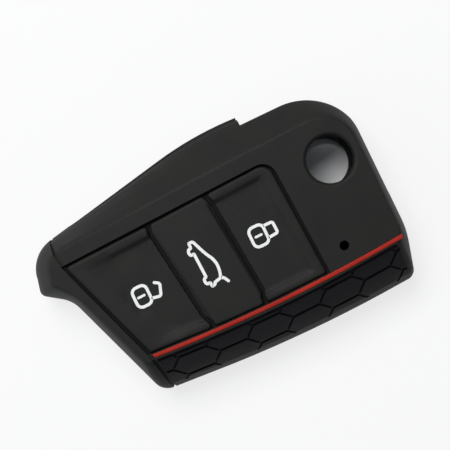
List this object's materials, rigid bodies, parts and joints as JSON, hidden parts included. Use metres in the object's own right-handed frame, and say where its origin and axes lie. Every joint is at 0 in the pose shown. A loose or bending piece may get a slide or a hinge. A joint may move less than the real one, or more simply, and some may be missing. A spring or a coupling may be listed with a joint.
{
  "type": "key fob cover",
  "caption": "Soft silicone cover for a folding car key, with raised press pads, a red accent stripe, a honeycomb grip band, a release-button hole and a side slit for the blade.",
  "frame": {"origin": "middle of the cover's box in plan, on the surface that its back lies on", "axes": "+X along the cover from the key-ring nose to the pivot end, +Y across it from the honeycomb grip to the blade side, +Z out of the button face"},
  "size_m": [0.0847, 0.0536, 0.0186],
  "materials": {
    "sleeve": "matte",
    "grip": "satin",
    "accent": "matte",
    "membrane": "matte",
    "button": "matte"
  },
  "bodies": {
    "cover": {"sleeve": "sleeve", "grip_strip": "grip", "accent_stripe": "accent", "button_membrane": "membrane"},
    "unlock_pad": {"unlock_button": "button"},
    "boot_pad": {"boot_button": "button"},
    "lock_pad": {"lock_button": "button"}
  },
  "joints": [
    {"name": "unlock_press", "type": "slide", "parent": "cover", "child": "unlock_pad", "axis": [0, 0, -1], "range_m": [0, 0.0008], "stiffness_N_per_m": 800},
    {"name": "boot_press", "type": "slide", "parent": "cover", "child": "boot_pad", "axis": [0, 0, -1], "range_m": [0, 0.0008], "stiffness_N_per_m": 800},
    {"name": "lock_press", "type": "slide", "parent": "cover", "child": "lock_pad", "axis": [0, 0, -1], "range_m": [0, 0.0008], "stiffness_N_per_m": 800}
  ]
}
